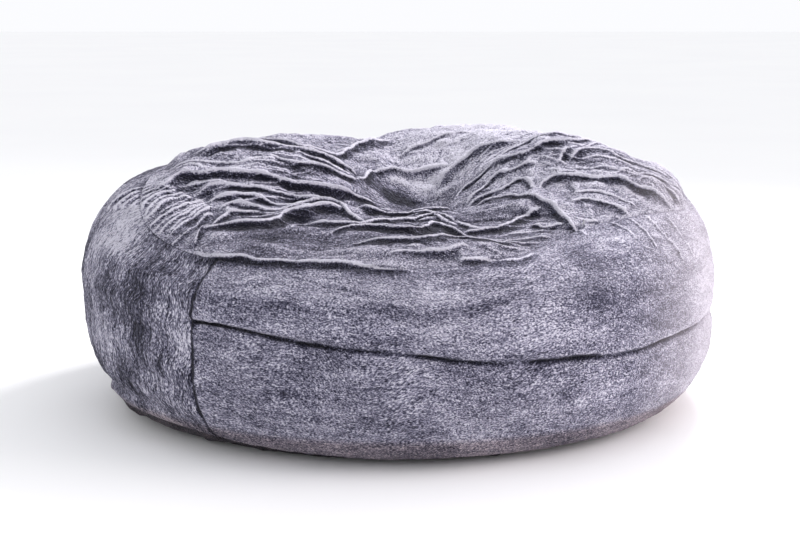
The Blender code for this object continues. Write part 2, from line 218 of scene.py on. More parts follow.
class Body:
    """The filled bag as a smooth surface, sampled by angle and distance along the profile."""

    def __init__(self, count, steps=12):
        self.count = count
        self.angle = np.arange(count) * 2.0 * np.pi / count
        self.r, self.z, self.along = smooth_profile(self.angle, steps)
        rows = np.arange(self.r.shape[0]) / steps
        self.crease = self.distance_at(rows, np.full(count, float(CREASE_ROW)))
        self.rim = self.distance_at(rows, rim_share(self.angle))
        self.total = self.along[-1]

    def distance_at(self, rows, wanted):
        """Distance along each column's profile at a fractional control row."""
        return np.array([np.interp(wanted[k], rows, self.along[:, k]) for k in range(self.count)])

    def profile_at(self, k, distance):
        """Radius and height of one column at distances along its profile."""
        return [np.interp(distance, self.along[:, k], part[:, k]) for part in (self.r, self.z)]

    def place(self, column, distance):
        """Radius and height for whole-number columns and distances along the profile."""
        r = np.empty(distance.shape)
        z = np.empty(distance.shape)
        for k in range(self.count):
            here = column == k
            if not here.any():
                continue
            r[here], z[here] = self.profile_at(k, distance[here])
        return r, z


def to_points(r, z, angle):
    """Points from cylinder coordinates, with the middle moved to the hollow."""
    shift = np.clip(1.0 - r / 0.80, 0.0, 1.0) ** 1.5
    x = r * np.cos(angle) + HOLLOW[0] * shift
    y = r * np.sin(angle) + HOLLOW[1] * shift
    return np.stack([x, y, z], axis=-1)


def round_points(r, angle, z):
    """Points from radius, angle and height about the middle of the bag."""
    return np.stack([r * np.cos(angle), r * np.sin(angle), z], axis=-1)


def wall_home(body, lower_rows, upper_rows):
    """Points of the wall, column by row, base seam first."""
    columns = []
    for k in range(body.count):
        low = np.linspace(0.0, body.crease[k], lower_rows + 1)
        high = np.linspace(body.crease[k], body.rim[k], upper_rows + 1)[1:]
        distance = np.concatenate([low, high])
        columns.append(to_points(*body.profile_at(k, distance), body.angle[k]))
    return np.array(columns)


def disc_grid(quarter):
    """Square grid wrapped onto a disc: radius share and angle of each point."""
    line = np.linspace(-1.0, 1.0, quarter + 1)
    u, v = np.meshgrid(line, line, indexing="ij")
    wide = np.abs(u) >= np.abs(v)
    safe_u = np.where(u == 0.0, 1.0, u)
    safe_v = np.where(v == 0.0, 1.0, v)
    angle = np.where(wide, 0.25 * np.pi * v / safe_u, 0.5 * np.pi - 0.25 * np.pi * u / safe_v)
    share = np.where(wide, u, v)
    angle = np.where(share < 0.0, angle + np.pi, angle)
    return np.abs(share), angle % (2.0 * np.pi)


def rim_indices(quarter):
    """Grid indices of the disc's edge, in order of angle from -45 degrees."""
    ahead = np.arange(quarter)
    full = np.full(quarter, quarter)
    zero = np.zeros(quarter, dtype=int)
    i = np.concatenate([full, quarter - ahead, zero, ahead])
    j = np.concatenate([ahead, full, quarter - ahead, zero])
    return i, j


def top_home(body, quarter):
    """Points of the top panel on its square grid."""
    share, angle = disc_grid(quarter)
    position = angle / (2.0 * np.pi) * body.count
    low = np.floor(position).astype(int) % body.count
    blend = position - np.floor(position)
    points = 0.0
    for offset, weight in ((0, 1.0 - blend), (1, blend)):
        column = (low + offset) % body.count
        distance = body.total[column] - share * (body.total[column] - body.rim[column])
        r, z = body.place(column, distance)
        points = points + weight[..., None] * to_points(r, z, angle)
    return points, share, angle


# ---- noise

def value_noise(x, y, seed, cells=64):
    """Smooth repeating noise on a plane, about -1 to 1."""
    table = np.random.default_rng(seed).standard_normal((cells, cells))
    column = np.floor(x).astype(int)
    row = np.floor(y).astype(int)
    across = ease(x - column)
    along = ease(y - row)
    total = 0.0
    for step_x, share_x in ((0, 1.0 - across), (1, across)):
        for step_y, share_y in ((0, 1.0 - along), (1, along)):
            corner = table[(column + step_x) % cells, (row + step_y) % cells]
            total = total + corner * share_x * share_y
    return total * 0.8


def layered_noise(x, y, seed, octaves=3):
    """Value noise with finer and weaker layers on top."""
    total = 0.0
    scale = 1.0
    for octave in range(octaves):
        total = total + value_noise(x * 2.0 ** octave, y * 2.0 ** octave, seed + octave) * scale
        scale *= 0.5
    return total


# ---- folds laid one by one

# Each fold: height of its crest in mm, then its route over the seat from above in cm
FOLDS = [
    # Long sweeps from the left shoulder into the hollow
    (22, (-72, -29), (-60, -23), (-50, -21), (-38, -20), (-28, -20), (-19, -19), (-10, -16), (-3, -13)),
    (18, (-62, -4), (-48, -4), (-35, -3), (-25, 0), (-17, 3), (-11, 3)),
    (14, (-52, 6), (-40, 7), (-30, 6), (-22, 10), (-15, 12)),
    (16, (-31, 2), (-22, 15), (-12, 30), (0, 42)),
    (9, (-28, 3), (-20, 7), (-13, 6)),
    (9, (-29, -2), (-20, 2), (-12, 1)),
    (9, (-34, -6), (-22, -3), (-13, -3)),
    (13, (-42, -13), (-30, -12), (-21, -10), (-16, -7), (-12, -3)),
    (10, (-66, -11), (-50, -15), (-40, -15), (-33, -13)),
    (10, (-65, -15), (-50, -18), (-38, -17), (-27, -15)),
    (10, (-60, -26), (-50, -26), (-40, -25), (-28, -23)),
    (17, (-58, -31), (-46, -29), (-33, -28), (-25, -28), (-19, -30)),
    (14, (-52, -35), (-42, -32), (-33, -33), (-27, -35), (-21, -35)),
    # Zigzag across the front left
    (19, (-50, -41), (-42, -38), (-36, -39), (-30, -37), (-22, -31), (-17, -34), (-12, -42), (-7, -46)),
    (11, (-47, -44), (-40, -41), (-33, -40), (-28, -41)),
    (17, (-52, -54), (-44, -52), (-37, -49), (-32, -44), (-27, -39), (-20, -37), (-11, -38)),
    (15, (-27, -42), (-19, -47), (-12, -46), (-4, -42), (5, -39), (10, -36)),
    # Level ridges in front of the hollow
    (16, (-13, -26), (-3, -29), (8, -28), (16, -25)),
    (17, (-19, -60), (-14, -53), (-7, -50), (2, -51), (8, -47), (11, -44), (16, -52), (21, -54)),
    (14, (-15, -67), (-5, -66), (5, -64), (14, -61), (24, -62), (33, -63)),
    (13, (1, -27), (8, -33), (12, -40), (17, -47)),
    (13, (-2, -40), (6, -38), (11, -36), (16, -43), (22, -48), (28, -47)),
    (9, (13, -75), (21, -74), (29, -71), (36, -66)),
    (8, (-3, -73), (8, -71), (20, -69)),
    (11, (-54, -60), (-45, -65), (-33, -70), (-20, -75), (-8, -79), (6, -81)),
    # Round the back of the hollow
    (13, (-14, -7), (-11, 3), (-8, 14), (-3, 17), (3, 17), (11, 17), (19, 16)),
    (18, (12, 10), (15, 14), (19, 18), (25, 17), (31, 14), (38, 12)),
    (8, (-1, 27), (7, 28), (14, 31), (24, 30)),
    # Sweeps from the right rim into the hollow
    (17, (26, -4), (33, 0), (40, 1), (48, 4), (57, 9)),
    (18, (17, -7), (20, 0), (25, 1), (31, -4), (38, -9), (44, -7), (52, -4), (62, 2)),
    (13, (18, -17), (23, -13), (27, -10), (31, -12), (36, -13), (42, -15)),
    (16, (19, -20), (25, -18), (30, -20), (34, -18), (37, -23), (41, -28)),
    (22, (21, -23), (27, -25), (33, -26), (38, -33), (42, -38), (45, -46), (51, -56)),
    (17, (16, -50), (23, -49), (29, -45), (34, -40), (40, -37)),
    (20, (40, -28), (42, -22), (48, -23), (57, -24), (67, -26), (77, -30)),
    (12, (46, -32), (53, -31), (59, -33), (66, -37)),
    (12, (45, -37), (51, -35), (57, -37), (63, -41)),
    (10, (43, -43), (49, -45), (54, -45)),
    (12, (36, -45), (40, -49), (45, -47)),
    (10, (47, -15), (55, -10), (63, -12), (70, -11), (80, -10)),
    (10, (43, -17), (47, -12), (53, -9), (60, -3), (68, 0)),
    (10, (57, -25), (61, -20), (67, -18), (75, -17), (82, -17)),
    (9, (63, -27), (68, -22), (74, -22), (80, -24)),
]

# Small gathers: over the left shoulder, then below the seam at the front right
GATHERS = [
    (10, (-80, -24), (-74, -21), (-66, -20)),
    (11, (-78, -31), (-72, -27), (-66, -25)),
    (11, (-72, -37), (-65, -30), (-60, -27)),
    (11, (-70, -42), (-63, -35), (-56, -31)),
    (11, (-68, -46), (-61, -39), (-52, -34)),
    (10, (-64, -50), (-58, -42), (-51, -36)),
    (10, (-61, -53), (-56, -45), (-50, -38)),
    (9, (-58, -57), (-54, -49), (-50, -41)),
    (9, (-80, -28), (-73, -24), (-66, -22)),
    (9, (-75, -34), (-68, -29), (-62, -25)),
    (9, (-70, -39), (-63, -32), (-57, -29)),
    (9, (-66, -48), (-59, -41), (-52, -35)),
    (9, (-62, -52), (-57, -44), (-51, -37)),
    (18, (-52, -60), (-49, -52), (-47, -47), (-44, -42)),
    (7, (55, -44), (62, -54)),
    (7, (61, -42), (70, -52)),
    (7, (67, -39), (76, -47)),
    (6, (72, -35), (80, -41)),
]


def smooth_route(points, steps=5):
    """Catmull-Rom curve through a short list of points."""
    points = np.array(points) / 100.0
    padded = np.concatenate([2 * points[:1] - points[1:2], points, 2 * points[-1:] - points[-2:-1]])
    t = (np.arange(steps) / steps)[:, None]
    curve = []
    for k in range(len(points) - 1):
        p0, p1, p2, p3 = padded[k:k + 4]
        curve.append(p1 + 0.5 * t * (p2 - p0) + t ** 2 * (p0 - 2.5 * p1 + 2 * p2 - 0.5 * p3)
                     + t ** 3 * (1.5 * (p1 - p2) + 0.5 * (p3 - p0)))
    return np.concatenate(curve + [points[-1:]])


def cross_section(distance, behind, steep, gentle, width=0.0032):
    """Height and shade across a fold: a lit crest, steep and dark towards the front."""
    reach = np.where(behind, gentle, steep)
    fall = np.exp(-(np.hypot(distance, 0.0015) - 0.0015) / reach)
    lit = np.exp(-(distance / width) ** 2)
    dark = np.where(behind, 0.15, 1.0) * np.exp(-distance / (8.0 * width)) * (1.0 - lit)
    return fall, 1.7 * lit - 1.4 * dark


def ridge(x, y, height, route, steep, gentle):
    """Height and shade of one fold over the seat."""
    line = smooth_route(route)
    low = line.min(axis=0) - 0.12
    high = line.max(axis=0) + 0.12
    inside = (x > low[0]) & (x < high[0]) & (y > low[1]) & (y < high[1])
    px, py = x[inside], y[inside]
    nearest = np.full((4, len(px)), 9.0)
    last = len(line) - 1
    for k in range(last):
        step = line[k + 1] - line[k]
        ox, oy = px - line[k, 0], py - line[k, 1]
        t = np.clip((ox * step[0] + oy * step[1]) / (step @ step), 0.0, 1.0)
        off = np.hypot(ox - t * step[0], oy - t * step[1])
        width = np.full_like(t, 0.0023 + 0.0016 * abs(step[0]) / np.hypot(*step))
        found = np.stack([off, step[0] * oy - step[1] * ox, (k + t) / last, width])
        nearest = np.where(off < nearest[0], found, nearest)
    off, side, share, width = nearest
    ends = ease(share / 0.16) * ease((1.0 - share) / 0.16)
    fall, tone = cross_section(off, side > 0.0, steep, gentle, width)
    raised = np.zeros(x.shape)
    raised[inside] = height * ends * fall
    shade = np.zeros(x.shape)
    shade[inside] = ends * tone * min(1.0, height / 0.018)
    return raised, shade


def small_folds(x, y, share, angle):
    """Lesser folds between the main ones: a fan round the seat, level ones in front."""
    front = ease((-np.sin(angle) - 0.02) / 0.75) * ease((share - 0.10) / 0.2)
    warp = layered_noise(x * 4.0 + 9.0, y * 4.0 + 3.0, SEED, 3)
    turn = angle / (2.0 * np.pi) * 64.0 + 0.7 * warp + 1.3 * share * share
    turn = turn - np.round(turn)
    spacing = 2.0 * np.pi * 0.85 * share / 64.0
    fan, fan_shade = cross_section(np.abs(turn) * spacing, turn * np.cos(angle) > 0.0, 0.010, 0.028)
    turn = (y + 0.3 * x * x) / 0.048 + 0.9 * warp
    turn = turn - np.round(turn)
    level, level_shade = cross_section(np.abs(turn) * 0.048, turn > 0.0, 0.010, 0.028)
    strength = ease(0.5 + 0.6 * value_noise(x * 6.0 + 17.0, y * 6.0 + 5.0, SEED + 3))
    strength = strength * ease((share - 0.12) / 0.1) * ease((1.0 - share) / 0.06)
    smooth = np.exp(-((x - 0.18) / 0.30) ** 2 - ((y - 0.34) / 0.26) ** 2)
    smooth = smooth + np.exp(-((x + 0.30) / 0.11) ** 2 - ((y + 0.55) / 0.07) ** 2)
    strength = strength * (1.0 - np.clip(1.3 * smooth, 0.0, 1.0))
    size = 0.009 - 0.003 * ease(np.sin(angle) / 0.5)
    height = size * strength * (fan * (1.0 - front) + level * front)
    shade = 0.6 * strength * (fan_shade * (1.0 - front) + level_shade * front)
    return height, shade


def fold_heights(points, share, angle):
    """Height and shade of the folds over the seat and the shoulder of the wall."""
    x, y, z = points[..., 0], points[..., 1], points[..., 2]
    px = x + 0.011 * layered_noise(x * 10.0, y * 10.0, SEED + 20, 2)
    py = y + 0.011 * layered_noise(x * 10.0 + 31.0, y * 10.0 + 7.0, SEED + 24, 2)
    power = 4.0
    small, small_shade = small_folds(x, y, share, angle)
    total = np.full(x.shape, 1e-12)
    shades = np.zeros(x.shape)
    for folds, scale, steep, gentle in ((FOLDS, 1.3, 0.011, 0.040), (GATHERS, 0.9, 0.008, 0.015)):
        for size, *route in folds:
            height, shade = ridge(px, py, scale * (size / 1000.0), route, steep, gentle)
            total += height ** power
            shades += shade * height ** power
    shades = shades / total + small_shade
    swell = 0.9 + 0.25 * value_noise(x * 9.0 + 2.0, y * 9.0, SEED + 30) - 0.3 * ease((x - 0.1) / 0.2)
    billow = 0.011 * np.maximum(layered_noise(x * 6.0, y * 9.0, SEED + 32, 3), -1.0) + 0.011
    upper = ease((z - 0.40) / 0.08)
    height = (total ** (1.0 / power) * swell + 0.45 * small + billow * ease((1.0 - share) / 0.1)) * upper
    return height, shades * upper


# ---- cloth solver

def pair_runs(count, step):
    """Index runs a step apart, in groups where no index is used twice."""
    for start in range(2 * step):
        stop = start + (count - step - 1 - start) // (2 * step) * 2 * step + 1
        yield slice(start, stop, 2 * step), slice(start + step, stop + step, 2 * step)


def offset_pairs(shape, step_i, step_j, wrap):
    """Index pairs a grid step apart, in groups where no point is used twice."""
    count_i, count_j = shape
    if step_i == 0:
        return [((slice(None), a), (slice(None), b)) for a, b in pair_runs(count_j, step_j)]
    cut_a = slice(max(0, -step_j), count_j - max(0, step_j))
    cut_b = slice(max(0, step_j), count_j + min(0, step_j))
    pairs = [((a, cut_a), (b, cut_b)) for a, b in pair_runs(count_i, step_i)]
    if wrap:
        pairs.append(((slice(count_i - step_i, count_i), cut_a), (slice(0, step_i), cut_b)))
    return pairs


def grid_normals(points, wrap):
    """Unit normals of a grid of points, closed on itself along the first axis if wrapped."""
    if wrap:
        di = np.roll(points, -1, axis=0) - np.roll(points, 1, axis=0)
    else:
        di = np.gradient(points, axis=0)
    dj = np.gradient(points, axis=1)
    normal = np.cross(di, dj)
    length = np.linalg.norm(normal, axis=-1, keepdims=True)
    return normal / np.maximum(length, 1e-12)


class Sheet:
    """Grid of cloth points whose rest lengths come from its folded shape on the body."""

    LINKS = ((1, 0, 1.0), (0, 1, 1.0), (1, 1, 0.35), (1, -1, 0.35), (2, 0, 0.06), (0, 2, 0.06))

    def __init__(self, home, share, angle, spare, wrap):
        self.home = home.astype(np.float32)
        self.normal = grid_normals(home, wrap).astype(np.float32)
        self.wrap = wrap
        self.angle = angle
        height, self.shade = fold_heights(home, share, angle)
        folded = home + height[..., None] * self.normal
        self.points = folded.astype(np.float32)
        self.before = self.points.copy()
        self.links = []
        for step_i, step_j, stiffness in self.LINKS:
            for a, b in offset_pairs(home.shape[:2], step_i, step_j, wrap):
                span = folded[b] - folded[a]
                rest = np.linalg.norm(span, axis=-1) * (1.0 + 0.5 * (spare[a] + spare[b]))
                self.links.append((a, b, rest.astype(np.float32), stiffness))

    def relax(self):
        """Pull every link towards its rest length once."""
        points = self.points
        for a, b, rest, stiffness in self.links:
            span = points[b] - points[a]
            length = np.sqrt(np.einsum("ijk,ijk->ij", span, span)) + 1e-9
            move = (0.5 * stiffness * (length - rest) / length)[..., None] * span
            points[a] += move
            points[b] -= move

    def advance(self):
        """Carry the motion on, pressed to the body and pulled down."""
        step = (self.points - self.before) * CLOTH_DAMPING
        self.before = self.points.copy()
        self.points += step - CLOTH_PRESS * self.normal
        self.points[..., 2] -= CLOTH_WEIGHT

    def collide(self):
        """Keep the cloth outside the body and near it, with friction where it touches."""
        off = np.einsum("ijk,ijk->ij", self.points - self.home, self.normal)
        low = np.clip(-off, 0.0, None)
        high = np.clip(off - CLOTH_REACH, 0.0, None)
        self.points += (low - high)[..., None] * self.normal
        touching = (low > 0.0)[..., None]
        held = self.before + CLOTH_GRIP * (self.points - self.before)
        self.before = np.where(touching, held, self.before)


def make_sheets(quarter, lower_rows, upper_rows):
    """Top panel and wall on the body, with where the top's edge lies in its grid."""
    body = Body(4 * quarter)
    points, share, angle = top_home(body, quarter)
    spare = 0.03 * ease(share / 0.15) * np.ones_like(share)
    top = Sheet(points, share, angle, spare, False)
    turn = quarter // 2
    points = np.roll(wall_home(body, lower_rows, upper_rows), turn, axis=0)
    angle = np.repeat(np.roll(body.angle, turn)[:, None], points.shape[1], axis=1)
    rows = np.arange(points.shape[1]) - lower_rows
    up = np.clip(rows / upper_rows, 0.0, 1.0)[None, :]
    spare = 0.004 + 0.03 * ease((up - 0.65) / 0.35) * near(angle, 190.0, 50.0)
    wall = Sheet(points, np.ones_like(angle), angle, spare, True)
    return top, wall, rim_indices(quarter)


def settle(top, wall, edge):
    """Let the spare cloth buckle over the body and come to rest."""
    angle = wall.angle[:, 0]
    crease_row = GRID[1]
    sewn = 0.3 * (1.0 - between(angle, LEFT_START, LEFT_END, 1.0)).astype(np.float32)[:, None]
    middle = (top.home.shape[0] - 1) // 2
    spread = slice(middle - middle // 18, middle + middle // 18 + 1)
    for _ in range(ROUNDS):
        for sheet in (top, wall):
            sheet.advance()
            sheet.relax()
            sheet.relax()
        seam = 0.5 * (top.points[edge] + wall.points[:, -1])
        top.points[edge] = seam
        wall.points[:, -1] = seam
        for sheet in (top, wall):
            sheet.collide()
        wall.points[:, 0] = wall.home[:, 0]
        wall.points[:, crease_row] += sewn * (wall.home[:, crease_row] - wall.points[:, crease_row])
        wall.points[:, -1] += 0.05 * (wall.home[:, -1] - wall.points[:, -1])
        top.points[edge] = wall.points[:, -1]
        top.points[spread, spread] += 0.3 * (top.home[spread, spread] - top.points[spread, spread])


def fold_cover():
    """Top panel and wall of the cover, folded and settled on the filling."""
    top, wall, edge = make_sheets(*GRID)
    settle(top, wall, edge)
    return top, wall, edge


# ---- fur surface

def blurred(values, cells, wrap):
    """Box blur over a grid, three times, so about a soft circle."""
    for _ in range(3):
        for axis in (0, 1):
            mode = "wrap" if wrap and axis == 0 else "edge"
            pad = [(0, 0), (0, 0)]
            pad[axis] = (cells + 1, cells)
            total = np.cumsum(np.pad(values, pad, mode=mode), axis=axis)
            size = 2 * cells + 1
            count = values.shape[axis]
            upper = np.take(total, np.arange(size, size + count), axis=axis)
            lower = np.take(total, np.arange(count), axis=axis)
            values = (upper - lower) / size
    return values


# Patches of painted light and shade over the seat, partly the pile brushed light or dark, with deep
# painted shade in the hollow: amount, middle and reach over the seat
BRUSHED_LIGHT_AND_SHADE = [
    (0.72, 0.27, 0.33, 0.30, 0.22),
    (0.60, -0.74, -0.36, 0.13, 0.22),
    (-0.32, -0.08, -0.28, 0.32, 0.36),
    (-0.65, -0.30, -0.56, 0.15, 0.10),
    (0.45, 0.06, 0.14, 0.11, 0.04),
    (-1.80, -0.01, 0.05, 0.065, 0.05),
    (-0.60, 0.13, -0.02, 0.06, 0.05),
    (0.30, 0.50, 0.00, 0.25, 0.45),
    (-0.34, 0.08, -0.50, 0.30, 0.18),
    (0.24, -0.40, -0.05, 0.22, 0.16),
    (0.22, -0.36, -0.40, 0.14, 0.12),
    (-0.45, 0.04, -0.13, 0.12, 0.11),
]


def from_back_edge(angle):
    """The same angle counted from the back right seam, so patterns only break there."""
    start = math.radians(BACK_EDGE)
    return (angle - start) % (2.0 * np.pi) + start


def painted_light_and_shade(sheet):
    """Painted light and shade: bright crest lines, dark front flanks and valleys, patches over the seat,
    a lit right side and shade under the rim.
    """
    height = np.einsum("ijk,ijk->ij", sheet.points - sheet.home, sheet.normal)
    # Painted highlight where the cloth stands above its blurred height, painted shade where it sinks
    # below
    narrow = (height - blurred(height, 2, sheet.wrap)) / 0.003
    wide = (height - blurred(height, 8, sheet.wrap)) / 0.014
    x, y = sheet.home[..., 0], sheet.home[..., 1]
    z = sheet.home[..., 2]
    # Painted light and shade patches over the seat
    seat = 0.0
    for size, at_x, at_y, wide_x, wide_y in BRUSHED_LIGHT_AND_SHADE:
        seat = seat + size * np.exp(-((x - at_x) / wide_x) ** 2 - ((y - at_y) / wide_y) ** 2)
    upper = ease((z - 0.46) / 0.06)
    turn = from_back_edge(np.arctan2(y, x)) - 2.0 * np.pi
    level = layered_noise(turn * 2.5 + 8.0, z * 17.0, SEED + 90, 3)
    # Painted light on the right side, where the side lamp falls; a darker band at the front right; random
    # tone; painted shade under the rim
    pale = 0.50 * near(turn, 350.0, 20.0)
    dark = 0.20 * near(turn, 306.0, 16.0) * ease((z - 0.28) / 0.06)
    painted_shade_under_rim = 0.12 * np.exp(-((z - 0.43) / 0.03) ** 2)
    side = pale - dark + 0.09 * level - painted_shade_under_rim
    total = 0.25 * narrow + 0.35 * wide + 1.1 * sheet.shade + seat * upper + side * (1.0 - upper)
    return np.clip(total, -1.6, 1.6)


def tufted(points, pile, fade, wrap):
    """Raise the pile in small clumps that lie along the pile direction."""
    across, along = pile[..., 0], pile[..., 1]
    clump = layered_noise(across * 75.0, along * 28.0, SEED + 40, 3)
    matted = layered_noise(across * 11.0, along * 5.0, SEED + 44, 2)
    height = 0.0011 * clump + 0.0016 * matted
    return points + (height * fade)[..., None] * grid_normals(points, wrap)


def wall_pile(points, angle):
    """Pile coordinates on the wall: pile lies level on the bands, upright on the left."""
    along = np.cumsum(np.linalg.norm(np.diff(points, axis=1, prepend=points[:, :1]), axis=-1), axis=1)
    around = np.repeat((from_back_edge(angle) * 0.9)[:, None], points.shape[1], axis=1)
    sway = 0.02 * layered_noise(around * 3.0, along * 3.0, SEED + 50, 2)
    upright = between(angle, LEFT_START, LEFT_END, 0.5)[:, None]
    none = np.zeros_like(along)
    level = np.stack([along + sway, around + sway, none], axis=-1)
    standing = np.stack([around + sway + 0.006 * np.sin(along * 60.0), along, none], axis=-1)
    return np.where(upright[..., None] > 0.5, standing, level)


def new_object(name, data):
    """Object over its data, linked to the scene."""
    made = bpy.data.objects.new(name, data)
    bpy.context.scene.collection.objects.link(made)
    return made


def grid_mesh(name, points, pile, light_and_shade, wrap=False):
    """Mesh over a grid of points, carrying the pile direction and the painted light and shade."""
    count_i, count_j = points.shape[:2]
    index = np.arange(count_i * count_j).reshape(count_i, count_j)
    after = np.roll(index, -1, axis=0) if wrap else index[1:]
    here = index if wrap else index[:-1]
    faces = np.stack([here[:, :-1], after[:, :-1], after[:, 1:], here[:, 1:]], axis=-1)
    mesh = bpy.data.meshes.new(name)
    mesh.from_pydata(points.reshape(-1, 3).tolist(), [], faces.reshape(-1, 4).tolist())
    for label, kind, field, values in (
            ("pile", "FLOAT_VECTOR", "vector", pile), ("painted_light_and_shade", "FLOAT", "value", light_and_shade)):
        carried = mesh.attributes.new(label, kind, "POINT")
        carried.data.foreach_set(field, values.astype(np.float32).ravel())
    mesh.shade_smooth()
    return new_object(name, mesh)


# ---- materials

def new_material(name):
    """Empty material with its node tree and shader."""
    made = bpy.data.materials.new(name)
    made.use_nodes = True
    return made, made.node_tree, made.node_tree.nodes["Principled BSDF"]


def fill_inputs(tree, node, values):
    """Link or set a node's inputs, by name or number."""
    for key, value in values.items():
        if isinstance(value, bpy.types.NodeSocket):
            tree.links.new(value, node.inputs[key])
        else:
            node.inputs[key].default_value = value


def add_node(tree, kind, values=None, **settings):
    """New node with its settings and inputs."""
    node = tree.nodes.new(kind)
    for key, value in settings.items():
        setattr(node, key, value)
    fill_inputs(tree, node, values or {})
    return node


def object_place(tree):
    """Socket that gives the place on the object in metres."""
    return add_node(tree, "ShaderNodeTexCoord").outputs["Object"]


def link_noise(tree, vector, scale, detail=2.0, roughness=0.5, distortion=0.0, stretch=(1.0, 1.0, 1.0)):
    """Noise over a vector, stretched by a Mapping node. Returns its value socket."""
    mapping = add_node(tree, "ShaderNodeMapping", {"Vector": vector, "Scale": stretch})
    noise = add_node(tree, "ShaderNodeTexNoise", {
        "Vector": mapping.outputs["Vector"], "Scale": scale, "Detail": detail,
        "Roughness": roughness, "Distortion": distortion})
    return noise.outputs["Fac"]


def link_math(tree, operation, *values):
    """Math node over two or three numbers or sockets."""
    return add_node(tree, "ShaderNodeMath", dict(enumerate(values)), operation=operation).outputs[0]


def link_ramp(tree, value, stops):
    """Colour ramp over a value, from (place, colour) stops; a single number is a grey."""
    ramp = add_node(tree, "ShaderNodeValToRGB", {"Fac": value})
    while len(ramp.color_ramp.elements) < len(stops):
        ramp.color_ramp.elements.new(0.5)
    for element, (place, colour) in zip(ramp.color_ramp.elements, stops):
        element.position = place
        element.color = (*(colour if isinstance(colour, tuple) else (colour,) * 3), 1.0)
    return ramp.outputs["Color"]


def link_mix(tree, share, first, second, blend="MIX"):
    """Mix of two colours; sockets 6 and 7 are the node's colour pair."""
    values = {0: share, 6: first, 7: second}
    return add_node(tree, "ShaderNodeMix", data_type="RGBA", blend_type=blend, values=values).outputs[2]


def link_bump(tree, shader, height, distance, strength):
    """Bump into the shader's normal."""
    values = {"Height": height, "Distance": distance, "Strength": strength}
    bump = add_node(tree, "ShaderNodeBump", values)
    tree.links.new(bump.outputs["Normal"], shader.inputs["Normal"])


# Plush colour from the roots to the brushed tips
PLUSH = (
    (0.00, (0.006, 0.006, 0.012)),
    (0.32, (0.045, 0.044, 0.072)),
    (0.54, (0.140, 0.136, 0.190)),
    (0.78, (0.330, 0.318, 0.405)),
    (1.00, (0.610, 0.592, 0.675)),
)


def lit_and_shaded_plush(tree, colour):
    """Plush with painted light at the front right, where the side lamp falls, and painted shade, darker
    and browner, near the floor.
    """
    place = add_node(tree, "ShaderNodeSeparateXYZ", {"Vector": object_place(tree)}).outputs
    # Painted light at the front right: pale lavender mixed into the plush
    painted_side_light = link_ramp(tree, place["X"], [(0.60, 0.0), (0.88, 0.56)])
    ahead = link_math(tree, "ADD", place["Y"], 0.5)
    ahead = link_ramp(tree, ahead, [(0.24, 1.0), (0.62, 0.0)])
    colour = link_mix(tree, link_math(tree, "MULTIPLY", painted_side_light, ahead), colour, (0.57, 0.525, 0.565, 1.0))
    # Painted shade near the floor: darker and browner below about 8 cm
    height = link_math(tree, "MULTIPLY", place["Z"], 5.0)
    painted_floor_shade = link_ramp(tree, height, [(0.38, (0.86, 0.76, 0.70)), (0.48, 1.0)])
    return link_mix(tree, 1.0, colour, painted_floor_shade, "MULTIPLY")


def fur_material(name, shade, frost_and_light=0.0, stretch=0.4, mottle=0.45, grain=1.0, fine=2.2):
    """Short plush pile: dark slate roots under pale lavender tips, lying in streaks, with painted light
    and shade added.
    """
    made, tree, shader = new_material(name)
    pile = add_node(tree, "ShaderNodeAttribute", attribute_name="pile").outputs["Vector"]
    # Painted light and shade of the folds, seams and seat, carried on the mesh
    light_and_shade = add_node(tree, "ShaderNodeAttribute", attribute_name="painted_light_and_shade").outputs["Fac"]
    strands = link_noise(tree, pile, 300.0, 2.0, 0.6, 0.4, (1.0, stretch + 0.15, 1.0))
    clumps = link_noise(tree, pile, 125.0, 2.0, 0.6, 0.8, (1.0, stretch, 1.0))
    streaks = link_noise(tree, pile, 17.0, 4.0, 0.6, 1.2, (1.0, 0.28, 1.0))
    patches = link_noise(tree, pile, 4.5, 2.0, 0.5, 0.6)
    total = link_math(tree, "MULTIPLY_ADD", strands, fine, 0.5 - 0.5 * fine)
    for value, share in ((clumps, grain), (streaks, 0.9), (patches, mottle)):
        part = link_math(tree, "MULTIPLY_ADD", value, share, -0.5 * share)
        total = link_math(tree, "ADD", total, part)
    total = link_math(tree, "ADD", total, link_math(tree, "MULTIPLY", light_and_shade, 0.57))
    # Frost: the pale tips, plus painted light that makes some panels lighter
    total = link_math(tree, "ADD", total, frost_and_light)
    colours = [(place, tuple(np.minimum(1.0, np.array(colour) * shade))) for place, colour in PLUSH]
    fill_inputs(tree, shader, {
        "Base Color": lit_and_shaded_plush(tree, link_ramp(tree, total, colours)),
        "Roughness": 0.92,
        "Specular IOR Level": 0.08,
        "Sheen Weight": 0.14,
        "Sheen Roughness": 0.45,
        "Sheen Tint": (0.86, 0.84, 0.95, 1.0),
    })
    depth = link_math(tree, "ADD", strands, link_math(tree, "MULTIPLY", clumps, 1.6))
    link_bump(tree, shader, depth, 0.006, 0.9)
    return made


def woven_material(name, dark, light, pitch, roughness=0.85):
    """Plain woven cloth: two crossing waves of yarn with slubs and slight fading."""
    made, tree, shader = new_material(name)
    place = object_place(tree)
    waves = {"Vector": place, "Scale": 1.0 / (pitch * 20.0), "Distortion": 1.2, "Detail Scale": 1.0}
    yarns = [
        add_node(tree, "ShaderNodeTexWave", waves, bands_direction=direction).outputs["Fac"]
        for direction in ("X", "Z")]
    weave = link_math(tree, "MULTIPLY", *yarns)
    slubs = link_noise(tree, place, 60.0, 4.0, 0.6, 0.3, (1.0, 1.0, 0.2))
    fading = link_noise(tree, place, 5.0, 2.0)
    mixed = link_math(tree, "MULTIPLY_ADD", weave, 0.5, slubs)
    total = link_math(tree, "MULTIPLY", mixed, fading)
    colour = link_ramp(tree, total, [(0.12, dark), (0.55, light)])
    fill_inputs(tree, shader, {"Base Color": colour, "Roughness": roughness, "Sheen Weight": 0.15})
    link_bump(tree, shader, mixed, 0.0006, 0.6)
    return made


